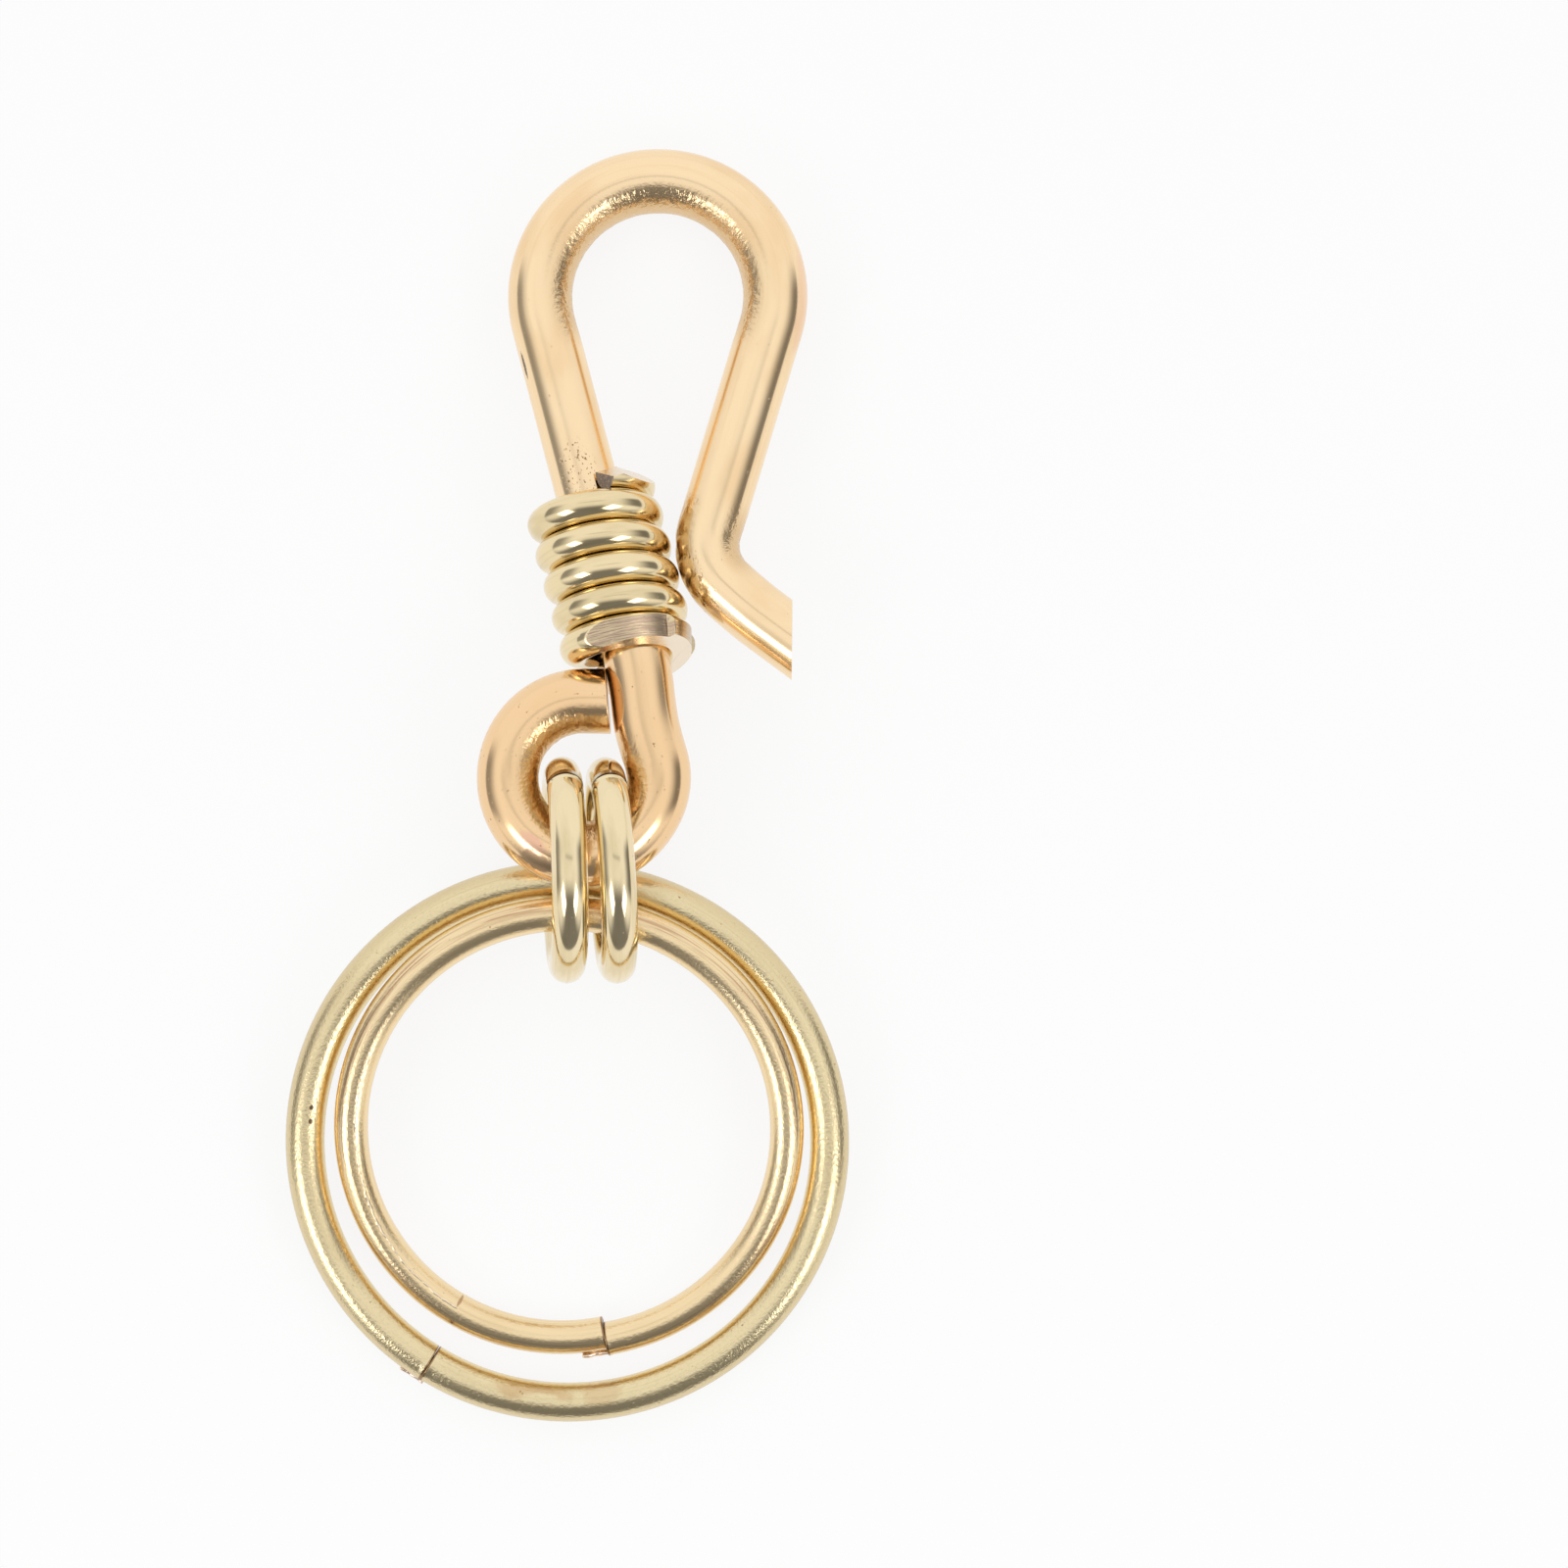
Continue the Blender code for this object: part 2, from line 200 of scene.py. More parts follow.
def light_tent():
    """The tent as the world: bright cloth, with its gloomy openings and the dark lamp frames."""
    world = bpy.data.worlds.new("light_tent")
    bpy.context.scene.world = world
    world.use_nodes = True
    tree = world.node_tree
    tree.nodes.clear()
    start = Level(tree)
    toward = start.node("TexCoord", output="Generated")
    right = toward.part("X")
    aside = right.size()
    back = toward.part("Y")
    height = toward.part("Z")
    above_table = height.rise(*TENT_FOOT)
    side_ends = (back - SIDE_MIDDLE).size().rise(*SIDE_ENDS)
    low = above_table * (1 - height.rise(*SIDE_TOP)) * (1 - side_ends)
    on_right = right.rise(*RIGHT_EDGE) * low
    on_left = (0 - right).rise(*LEFT_EDGE) * low
    front_ends = (aside * (height * FRONT_TAPER + FRONT_WIDTH)).rise(*FRONT_ENDS)
    front = (0 - back).rise(*FRONT_EDGE) * above_table * (1 - front_ends)
    bar = back.band(*FRAME_BACK) * (1 - aside.rise(*FRAME_ENDS)) * height.rise(*FRAME_FOOT)
    cloth = TENT_LEVEL * (1 - RIGHT_GLOOM * on_right) * (1 - LEFT_GLOOM * on_left)
    cloth = cloth * (1 - FRONT_GLOOM * front) * (1 - FRAME_GLOOM * bar)
    seen = start.node("LightPath", output="Is Camera Ray")
    level = cloth * (1 - seen) + seen
    background = start.node("Background", (), {"Color": (1, 1, 1, 1), "Strength": level})
    start.node("OutputWorld", (), {"Surface": background})


def add_lamp(name, side):
    """A soft lamp to one side, aimed at the object."""
    light = bpy.data.lights.new(name, "AREA")
    light.shape = "RECTANGLE"
    light.size = LAMP_WIDTH
    light.size_y = LAMP_LENGTH
    light.energy = LAMP_GLOW * math.pi * LAMP_WIDTH * LAMP_LENGTH
    lamp = bpy.data.objects.new(name, light)
    away = Vector((LAMP_DIRECTION.x * side, LAMP_DIRECTION.y, LAMP_DIRECTION.z)).normalized()
    lamp.location = away * LAMP_DISTANCE
    lamp.rotation_euler = away.to_track_quat("Z", "Y").to_euler()
    bpy.context.scene.collection.objects.link(lamp)


def add_camera():
    """The camera almost straight above, at the photograph's viewing angle."""
    tilt = math.radians(CAMERA_TILT)
    turn = math.radians(CAMERA_TURN)
    level = math.cos(turn)
    back = Vector((math.sin(turn), -math.sin(tilt) * level, math.cos(tilt) * level))
    right = Vector((0, 1, 0)).cross(back).normalized()
    up = back.cross(right)
    facing = Matrix((right, up, back)).transposed().to_4x4()
    camera = bpy.data.objects.new("camera", bpy.data.cameras.new("camera"))
    camera.data.lens = FOCAL_LENGTH
    camera.data.sensor_width = SENSOR_WIDTH
    camera.data.clip_start = 0.01
    roll = Matrix.Rotation(math.radians(CAMERA_ROLL), 4, "Z")
    camera.matrix_world = Matrix.Translation(CAMERA_AIM + back * CAMERA_DISTANCE) @ facing @ roll
    bpy.context.scene.collection.objects.link(camera)
    bpy.context.scene.camera = camera


board = bmesh.new()
bmesh.ops.create_grid(board, x_segments=1, y_segments=1, size=TABLE_SIZE / 2)
table = add_mesh_object("table", board, table_finish())
light_tent()
add_lamp("left_lamp", -1)
add_lamp("right_lamp", 1)
add_camera()
bpy.context.scene.view_settings.view_transform = "Standard"

# The hook.
# It is one 5 mm rod of drawn brass, bent cold into a closed eye, a straight shank, a round crown,
# a point leg, a throat and a tip that turns outward, and then tumbled to a soft satin.

ROD_RADIUS = 0.0025
EYE_BEND_RADIUS = 0.00585
EYE_TURN = 285.0
EYE_END_LENGTH = 0.00190
EYE_CUT_WEDGE = 11.0
EYE_NARROWING = 0.03
SHANK_LENGTH = 0.0348
SHANK_LEAN = 15.3
CROWN_BEND_RADIUS = 0.00905
POINT_LEG_LENGTH = 0.0164
THROAT_BEND_RADIUS = 0.0044
THROAT_TURN = 61.5
THROAT_GAP = 0.0002
TIP_BEND_RADIUS = 0.030
TIP_TURN = 8.0
TIP_LENGTH = 0.0025
TIP_SPARE = 0.0030
EYE_SHIFT = 0.0012
WRAP_OUTER_RADIUS = 0.0050

ROD_SIDES = 72
ROD_STEP = 0.00045
SAWN_EDGE = 0.00008

# What a face is marked with where a tool has worked it.
SAWN = 1.0
CHOPPED = 2.0
GROUND = 3.0

# The shank's sways: how high above its foot, over what reach and how far to the right.
SHANK_SWAYS = ((0.0085, 0.0065, 0.00040), (0.0015, 0.0055, -0.00020))

ROD_WAVE_DEPTH = 0.000010
PEEL_DEPTH = 0.000026
PEEL_PEAK = 1.7
DENT_DEPTH = 0.00015

# Marks on the rod: the place along it and around it, half the length and half the width.
SHANK_PITS = (0.0537, 82, 0.0026, 0.0016)
EYE_PINK_SPOT = (0.0167, 108, 0.0013, 0.0008)
LEG_PINK_SPOT = (0.0972, 22, 0.0040, 0.0011)
BURNT_SPOT = (0.0175, 134, 0.0015, 0.0009)
SHANK_NICK = (0.0629, 26, 0.0012, 0.00022)

PEACH_BRASS = (0.97, 0.745, 0.47)
CREAM_BRASS = (0.94, 0.82, 0.66)
CLOUDED_BRASS = (0.88, 0.62, 0.35)
ORANGE_BRASS = (0.90, 0.61, 0.34)
BROWN_BRASS = (0.62, 0.41, 0.20)
PINK_BRASS = (0.84, 0.47, 0.36)
BROWN_TARNISH_AND_SEAM_SHADE = (0.30, 0.17, 0.08)
# Brown tarnish for pits and dull cuts. The rings also use it as painted shade in their joint cracks.
DARK_SCALE = (0.12, 0.08, 0.05)


def heading_vector(angle):
    """Unit vector in the XY plane at an angle from +X."""
    return Vector((math.cos(math.radians(angle)), math.sin(math.radians(angle)), 0))


class DrawnWire:
    """A round wire, grown from a cut end. Each point keeps its place in the straight stock.

    In the stock, x points to the left of the wire's heading, y up and z along it. A face is marked
    SAWN where it was sawn or filed, CHOPPED where it was chopped off, GROUND where it was ground or
    torn bright, and 0 where it keeps the drawn skin.
    """

    def __init__(self, radius, sides, step, place, heading):
        self.shape = bmesh.new()
        self.stock = self.shape.verts.layers.float_vector.new("stock")
        self.worked = self.shape.faces.layers.float.new("worked")
        self.step = step
        self.place = place
        self.heading = heading
        self.length = 0.0
        left, onward = heading_vector(heading + 90), heading_vector(heading)
        across = Matrix((left, (0, 0, 1), onward)).transposed()
        self.end = bmesh.ops.create_circle(self.shape, segments=sides, radius=radius)["verts"]
        for vert in self.end:
            vert[self.stock] = vert.co
        matrix = Matrix.Translation(place) @ across.to_4x4()
        bmesh.ops.transform(self.shape, matrix=matrix, verts=self.end)
        self.first_end = self.cap()

    def end_edges(self):
        """The edges of the open section at the growing end."""
        ring = set(self.end)
        edges = {e for vert in self.end for e in vert.link_edges}
        return [e for e in edges if e.verts[0] in ring and e.verts[1] in ring]

    def cap(self):
        """Closes the section with a flat face."""
        return bmesh.ops.contextual_create(self.shape, geom=self.end_edges())["faces"][0]

    def carry(self, length, centre, turn, move):
        """Carries the open end on by small equal steps and returns the points that this makes."""
        steps = max(1, round(length / self.step))
        known = len(self.shape.verts)
        last = bmesh.ops.spin(
            self.shape, geom=self.end + self.end_edges(), cent=centre, axis=(0, 0, 1),
            dvec=move / steps, angle=math.radians(turn), steps=steps,
        )["geom_last"]
        self.end = [part for part in last if isinstance(part, bmesh.types.BMVert)]
        self.shape.verts.ensure_lookup_table()
        return self.shape.verts[known:]

    def straight(self, length):
        """Carries the wire straight on."""
        along = heading_vector(self.heading)
        left = heading_vector(self.heading + 90)
        for vert in self.carry(length, self.place, 0, along * length):
            reach = vert.co - self.place
            vert[self.stock] = (reach.dot(left), reach.z, self.length + reach.dot(along))
        self.place = self.place + along * length
        self.length += length

    def bend(self, radius, turn):
        """Carries the wire round an arc, to the left for a positive turn."""
        side = math.copysign(1, turn)
        inward = heading_vector(self.heading + 90 * side)
        onward = heading_vector(self.heading)
        centre = self.place + inward * radius
        length = radius * math.radians(abs(turn))
        for vert in self.carry(length, centre, turn, Vector((0, 0, 0))):
            reach = vert.co - centre
            turned = math.atan2(reach.dot(onward), -reach.dot(inward)) % (2 * math.pi)
            off_centre = radius - math.hypot(reach.x, reach.y)
            vert[self.stock] = (side * off_centre, reach.z, self.length + radius * turned)
        self.heading += turn
        self.place = centre - heading_vector(self.heading + 90 * side) * radius
        self.length += length

    def cut_end(self, point, facing):
        """Slides the end section along the wire onto a plane, as an oblique saw cut."""
        along = heading_vector(self.heading)
        for vert in self.end:
            shift = (point - vert.co).dot(facing) / along.dot(facing)
            vert.co += along * shift
            vert[self.stock] = vert[self.stock] + Vector((0, 0, shift))

    def close(self, edge):
        """Caps the wire's end and breaks the sharp edges of both cuts."""
        faces = [self.first_end, self.cap()]
        for face in self.shape.faces:
            face[self.worked] = SAWN if face in faces else 0.0
        rims = [e for face in faces for e in face.edges]
        bmesh.ops.bevel(
            self.shape, geom=rims, offset=edge, offset_type="OFFSET", segments=2,
            profile=0.5, affect="EDGES", material=-1,
        )
        bmesh.ops.recalc_face_normals(self.shape, faces=self.shape.faces)
        self.shape.normal_update()

    def grind(self, through, facing, kind=SAWN, since=-1.0):
        """Takes away what stands past a plane and closes the cut with a flat, marked by kind."""
        faces = [f for f in self.shape.faces if min(v[self.stock].z for v in f.verts) >= since]
        edges = {edge for face in faces for edge in face.edges}
        verts = {vert for edge in edges for vert in edge.verts}
        cut = bmesh.ops.bisect_plane(
            self.shape, geom=[*faces, *edges, *verts], dist=0.0000001, plane_co=through,
            plane_no=facing, clear_outer=True,
        )["geom_cut"]
        rims = [part for part in cut if isinstance(part, bmesh.types.BMEdge)]
        for face in bmesh.ops.edgeloop_fill(self.shape, edges=rims)["faces"]:
            face[self.worked] = kind

    def refine(self, chosen, cuts):
        """Gives part of the wire a finer mesh, chosen by place in the stock."""
        marked = {vert for vert in self.shape.verts if chosen(vert[self.stock])}
        edges = [e for e in self.shape.edges if e.verts[0] in marked and e.verts[1] in marked]
        bmesh.ops.subdivide_edges(self.shape, edges=edges, cuts=cuts, use_grid_fill=True)
        self.shape.normal_update()

    def press(self, depth):
        """Moves each point along its normal by a depth worked out from its place in the stock."""
        moves = [(vert, vert.normal * depth(vert[self.stock])) for vert in self.shape.verts]
        for vert, move in moves:
            vert.co += move


def step_up(value, low, high):
    """0 below low, 1 above high and a smooth step between."""
    share = min(1.0, max(0.0, (value - low) / (high - low)))
    return share * share * (3 - 2 * share)


def between(value, low, high, soft):
    """1 between low and high, fading to 0 over soft on both sides."""
    return step_up(value, low - soft, low) * (1 - step_up(value, high, high + soft))


def shank_heading():
    """The direction in which the shank rises from the eye."""
    return 90 + SHANK_LEAN


def shank_foot():
    """Where the shank leaves the eye, in the hook's plane, with the eye's bar at the origin."""
    return Vector((0, EYE_BEND_RADIUS, 0)) + heading_vector(SHANK_LEAN) * EYE_BEND_RADIUS


def eye_end(heading):
    """The middle of the eye's cut end."""
    bend_start = Vector((0, EYE_BEND_RADIUS, 0)) - heading_vector(heading + 90) * EYE_BEND_RADIUS
    return bend_start - heading_vector(heading) * EYE_END_LENGTH


def leg_lean():
    """The angle between shank and point leg that brings the throat bend up to the wrap."""
    offset = WRAP_OUTER_RADIUS + THROAT_GAP + ROD_RADIUS + THROAT_BEND_RADIUS
    across = CROWN_BEND_RADIUS + THROAT_BEND_RADIUS
    span = math.hypot(across, POINT_LEG_LENGTH)
    lean = math.acos((offset - CROWN_BEND_RADIUS) / span) - math.atan2(POINT_LEG_LENGTH, across)
    return math.degrees(lean)


def crown_height():
    """From the eye's bar to the highest point of the crown's middle line."""
    top_of_shank = shank_foot() + heading_vector(shank_heading()) * SHANK_LENGTH
    centre = top_of_shank + heading_vector(SHANK_LEAN) * CROWN_BEND_RADIUS
    return centre.y + CROWN_BEND_RADIUS


def joint_place(name):
    """A joint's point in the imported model."""
    return Vector(next(j["pos_m"] for j in frame["joints"] if j["name"] == name))


def hook_lie():
    """Lays the hook's plane from the eye's bar down to the crown on the table."""
    swing = joint_place("link_left_swing")
    eye = Vector((EYE_SHIFT, swing.y, swing.z))
    slope = math.asin((eye.z - ROD_RADIUS) / crown_height())
    return Matrix.Translation(eye) @ Matrix.Rotation(-slope, 4, "X")


class Finish:
    """A brass surface in layers, placed by each point's place in the straight stock."""

    def __init__(self, name, colour, roughness):
        self.material = bpy.data.materials.new(name)
        self.material.use_nodes = True
        self.tree = self.material.node_tree
        self.start = Level(self.tree)
        self.stock = self.start.node("Attribute", {"attribute_name": "stock"}, output="Vector")
        self.left = self.stock.part("X")
        self.up = self.stock.part("Y")
        self.along = self.stock.part("Z")
        self.around = self.start.math("ARCTAN2", self.up, self.left)
        self.worked = self.start.node("Attribute", {"attribute_name": "worked"}, output="Fac")
        self.colour = (*colour, 1)
        self.roughness = roughness
        self.height = 0.0

    def noise(self, size, stretch=1.0, detail=2.0, rough=0.5):
        """Noise with grains of that size, drawn out along the wire by a stretch."""
        scaled = self.start.node(
            "VectorMath", {"operation": "MULTIPLY"}, {0: self.stock, 1: (1, 1, 1 / stretch)}
        )
        sockets = {"Vector": scaled, "Scale": 1 / size, "Detail": detail, "Roughness": rough}
        return self.start.node("TexNoise", (), sockets)

    def patch(self, along, around, length, width, radius, ragged=0.5):
        """A ragged spot: its place along and around the wire, half its length and its width."""
        lengthwise = (self.along - along) / length
        crosswise = (self.around - math.radians(around)) * (radius / width)
        square = lengthwise * lengthwise + crosswise * crosswise
        edge = self.noise(min(length, width) * 0.6) - 0.5
        return 1 - (square + edge * ragged * 2).rise(0.3, 1.1)

    def marked(self, first, last=GROUND):
        """1 on the faces whose marks are from first to last."""
        return self.worked.band(first - 0.2, last + 0.2, 0.3)

    def tint(self, mask, colour):
        """Lays a colour over the metal where the mask is 1."""
        self.colour = mask.mixed(self.colour, (*colour, 1))

    def roughen(self, mask, amount):
        """Adds to the roughness where the mask is 1."""
        self.roughness = mask * amount + self.roughness

    def raise_by(self, grain, depth):
        """Adds relief: a grain from 0 to 1, with its depth in metres."""
        self.height = grain * (depth * 1000) + self.height

    def draw_lines(self, size, depth, colour):
        """Fine lines that the drawing die leaves along the wire, some of them darker."""
        lines = self.noise(size, stretch=60, detail=3)
        self.raise_by(lines, depth)
        self.tint(lines.rise(0.52, 0.72) * 0.3, colour)

    def peel(self, mask, size, depth):
        """The coarse grain that comes up where the metal is squeezed in a bend."""
        grain = self.noise(size, stretch=0.8, detail=2, rough=0.6)
        self.raise_by(grain * mask, depth)
        self.roughen(mask, 0.06)

    def pits(self, mask, size, depth, colour, above):
        """Small dark pits in the drawn skin, fewer where they need a higher level of the noise."""
        cells = self.noise(size, stretch=1.4, detail=2, rough=0.6)
        pit = cells.rise(above, above + 0.05) * mask
        self.tint(pit * 0.85, colour)
        self.raise_by(pit, -depth)

    def scratch(self, mask, colour, depth):
        """Sawn or filed metal: duller, with fine lines across the cut."""
        lines = self.noise(0.00015, stretch=14, detail=3, rough=0.6)
        self.tint(mask * (lines.rise(0.38, 0.66) * 0.6 + 0.4), colour)
        self.roughen(mask, 0.13)
        self.raise_by(lines * mask, depth)

    def seam(self, length, colour):
        """Painted shade: darkens the very ends of a ring, where its joint is all but closed, as the
        shadow in the crack.
        """
        from_middle = (self.along - length / 2).size()
        self.tint(from_middle.rise(length / 2 - 0.00014, length / 2 - 0.00007) * 0.9, colour)

    def finish(self):
        """Connects the layers to the metal's shader and returns the material."""
        shader = self.tree.nodes["Principled BSDF"]
        shader.inputs["Metallic"].default_value = 1.0
        for name, value in (("Base Color", self.colour), ("Roughness", self.roughness)):
            if isinstance(value, Level):
                self.tree.links.new(value.socket, shader.inputs[name])
            else:
                shader.inputs[name].default_value = value
        if isinstance(self.height, Level):
            bump = self.start.node("Bump", (), {"Height": self.height, "Distance": 0.001})
            self.tree.links.new(bump.socket, shader.inputs["Normal"])
        return self.material


def hook_shape():
    """Grows the hook and notes where along the rod its bends lie."""
    heading = shank_heading() - EYE_TURN
    start = eye_end(heading)
    wire = DrawnWire(ROD_RADIUS, ROD_SIDES, ROD_STEP, start, heading)
    wire.cut_end(start, heading_vector(SHANK_LEAN - EYE_CUT_WEDGE))
    places = {}
    wire.straight(EYE_END_LENGTH)
    places["eye"] = wire.length
    wire.bend(EYE_BEND_RADIUS, EYE_TURN)
    places["shank"] = wire.length
    wire.straight(SHANK_LENGTH)
    places["crown"] = wire.length
    wire.bend(CROWN_BEND_RADIUS, -(180 + leg_lean()))
    places["leg"] = wire.length
    wire.straight(POINT_LEG_LENGTH)
    places["throat"] = wire.length
    wire.bend(THROAT_BEND_RADIUS, THROAT_TURN)
    places["tip"] = wire.length
    wire.bend(TIP_BEND_RADIUS, TIP_TURN)
    wire.straight(TIP_LENGTH)
    sawn = wire.place
    wire.straight(TIP_SPARE)
    wire.close(SAWN_EDGE)
    wire.grind(sawn, Vector((1, 0, 0)), since=places["tip"])
    return wire, places


def rough_parts(places):
    """The insides of the bends and the whole throat, whose grain and dents need a finer mesh."""

    def chosen(stock):
        in_eye = places["eye"] - 0.001 < stock.z < places["shank"] + 0.002 and stock.x > 0.0003
        in_crown = places["crown"] - 0.002 < stock.z < places["leg"] + 0.002 and stock.x < -0.0003
        return in_eye or in_crown or places["throat"] - 0.002 < stock.z < places["tip"] + 0.002

    return chosen


def hand_set(shape, stock, places):
    """Moves the rod where it was set by hand: an eye flattened outside, two sways in the shank."""
    for vert in shape.verts:
        along = vert[stock].z
        sway = 0.0
        for above_foot, reach, move in SHANK_SWAYS:
            middle = places["shank"] + above_foot
            sway += move * between(along, middle, middle, reach)
        in_eye = 1 - step_up(along, places["shank"] - 0.006, places["shank"])
        outer = step_up(-vert[stock].x / ROD_RADIUS, -0.6, 0.6)
        vert.co.x += sway - EYE_NARROWING * in_eye * outer * vert.co.x


def hook_relief(places):
    """How far the bending tools and the tumbling moved the rod's skin, by place in the stock."""

    def depth(stock):
        along = stock.z
        inside = stock.x / ROD_RADIUS
        in_eye = between(along, places["eye"], places["shank"], 0.003) * step_up(inside, 0.1, 0.9)
        in_crown = between(along, places["crown"], places["leg"], 0.003)
        in_crown *= step_up(-inside, 0.1, 0.9)
        in_throat = between(along, places["throat"], places["tip"], 0.002)
        wavy = noise.noise(Vector((stock.x * 250, stock.y * 250, along * 130)))
        peel = noise.noise(stock * 1500) + 0.6 * noise.noise(stock * 2900)
        dent = min(0.0, noise.noise(stock * 1000 + Vector((7, 3, 1))) + 0.05)
        squeezed = max(in_eye, in_crown, in_throat * step_up(inside, 0.2, 0.9))
        return (
            wavy * ROD_WAVE_DEPTH
            + (peel - PEEL_PEAK) * PEEL_DEPTH * squeezed
            + dent * DENT_DEPTH * in_throat * step_up(-inside, 0.35, 0.85)
        )

    return depth


def hook_finish(places):
    """Satin peach brass: fine draw lines, coarse grain inside the bends and small marks."""
    brass = Finish("hook_brass", PEACH_BRASS, 0.16)
    left = brass.left
    right = 0 - left
    along = brass.along
    cloud = brass.noise(0.0032, stretch=2.5, detail=3)
    brass.tint(cloud.rise(0.42, 0.72) * 0.7, CLOUDED_BRASS)
    low_end = 1 - along.rise(0.036, 0.046)
    brass.tint(low_end * 0.75, ORANGE_BRASS)
    brass.draw_lines(0.00030, 0.0000030, CLOUDED_BRASS)
    in_eye = along.band(places["eye"], places["shank"], 0.003) * left.rise(0.0, 0.0020)
    in_crown = along.band(places["crown"], places["leg"], 0.003) * right.rise(0.0, 0.0020)
    in_throat = along.band(places["throat"], places["tip"] - 0.001, 0.003)
    squeezed = in_eye + in_crown + in_throat * left.rise(0.0005, 0.0022)
    brass.tint(squeezed * 0.55, BROWN_BRASS)
    brass.peel(squeezed, 0.00042, 0.00008)
    beaten = in_throat * right.rise(0.0006, 0.0018)
    brass.tint(beaten * 0.55, BROWN_BRASS)
    brass.peel(beaten, 0.00050, 0.00006)
    brass.pits(beaten, 0.0004, 0.00003, BROWN_TARNISH_AND_SEAM_SHADE, 0.62)
    cluster = brass.patch(*SHANK_PITS, ROD_RADIUS)
    brass.pits(cluster, 0.00022, 0.00003, BROWN_TARNISH_AND_SEAM_SHADE, 0.60)
    brass.pits(low_end, 0.00026, 0.00002, BROWN_TARNISH_AND_SEAM_SHADE, 0.70)
    brass.pits(1, 0.00030, 0.00002, BROWN_TARNISH_AND_SEAM_SHADE, 0.74)
    brass.tint(brass.patch(*EYE_PINK_SPOT, ROD_RADIUS) * 0.6, PINK_BRASS)
    brass.tint(brass.patch(*LEG_PINK_SPOT, ROD_RADIUS) * 0.3, PINK_BRASS)
    burnt = brass.patch(*BURNT_SPOT, ROD_RADIUS, ragged=0.9)
    brass.tint(burnt * 0.65, DARK_SCALE)
    brass.roughen(burnt, 0.2)
    nick = brass.patch(*SHANK_NICK, ROD_RADIUS)
    brass.tint(nick * 0.9, DARK_SCALE)
    brass.raise_by(nick, -0.00004)
    brass.scratch(brass.marked(SAWN), CREAM_BRASS, 0.000006)
    return brass.finish()


hook_wire, hook_places = hook_shape()
hook_wire.refine(rough_parts(hook_places), 2)
hook_wire.press(hook_relief(hook_places))
hand_set(hook_wire.shape, hook_wire.stock, hook_places)
bmesh.ops.transform(hook_wire.shape, matrix=hook_lie(), verts=hook_wire.shape.verts)
hook = add_mesh_object("bent_hook", hook_wire.shape, hook_finish(hook_places))
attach(hook, "hook")
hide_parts("hook_rod")

# The wire wrap.
# It is one length of polished 2.4 mm brass wire, held by its own grip, a little over five turns round
# the shank. Both ends are ground flat like a spring's, the lowest turn is filed at the front, and the
# top end is a rough chop.

WRAP_WIRE_RADIUS = 0.00122
WRAP_HELIX_RADIUS = 0.00395
WRAP_PITCH = 0.00248
WRAP_START_ANGLE = -131.0
WRAP_FULL_TURNS = 5
WRAP_END_ANGLE = 95.0
WRAP_HEIGHT = 0.00842
WRAP_LEAN = 0.11
WRAP_SIDES = 48
WRAP_STEP = 0.0003

WRAP_WAVE_DEPTH = 0.000022
WRAP_FLAT_DEPTH = 0.000012

# The filed cone. Its angles are told from the shank's right to its front.
FILED_RADIUS = 0.00450
FILED_HEIGHT = 0.0090
FILED_SLOPE = 0.24
FILED_START = -12
FILED_END = 140
FILED_LAST_PLACE = 145
FILED_STEP = 0.00052
FILED_STEP_ANGLES = (41, 43)
FILED_RUNOUT = 0.0008
FILED_RUNOUT_ANGLES = (104, 140)
FINE_MESH_ANGLES = (-20, 150)

# Planes of the cuts: a point and the side that is taken away, told right, front and up the shank.
LOW_END_GROUND = ((0, 0, 0.0075), (0, 0.26, -0.965))
TOP_END_GROUND = ((0.0016, 0.00224, 0.02225), (0.1, 0.5, 1))
TOP_SIDE_GROUND = ((0.0045, 0.0024, 0.0204), (0.9, 0.35, 1))
TOP_END_CHOP = ((0.0016, 0.0036, 0.0213), (-0.824, 0.566, 0))

GREEN_BRASS = (0.86, 0.71, 0.44)
OLIVE_BRASS = (0.62, 0.50, 0.28)
FILED_BRASS = (0.58, 0.42, 0.31)
CHOPPED_BRASS = (0.24, 0.21, 0.20)


def wrap_place(angle):
    """The place along the wire where its first turn passes an angle."""
    return WRAP_HELIX_RADIUS * math.radians(angle - WRAP_START_ANGLE)


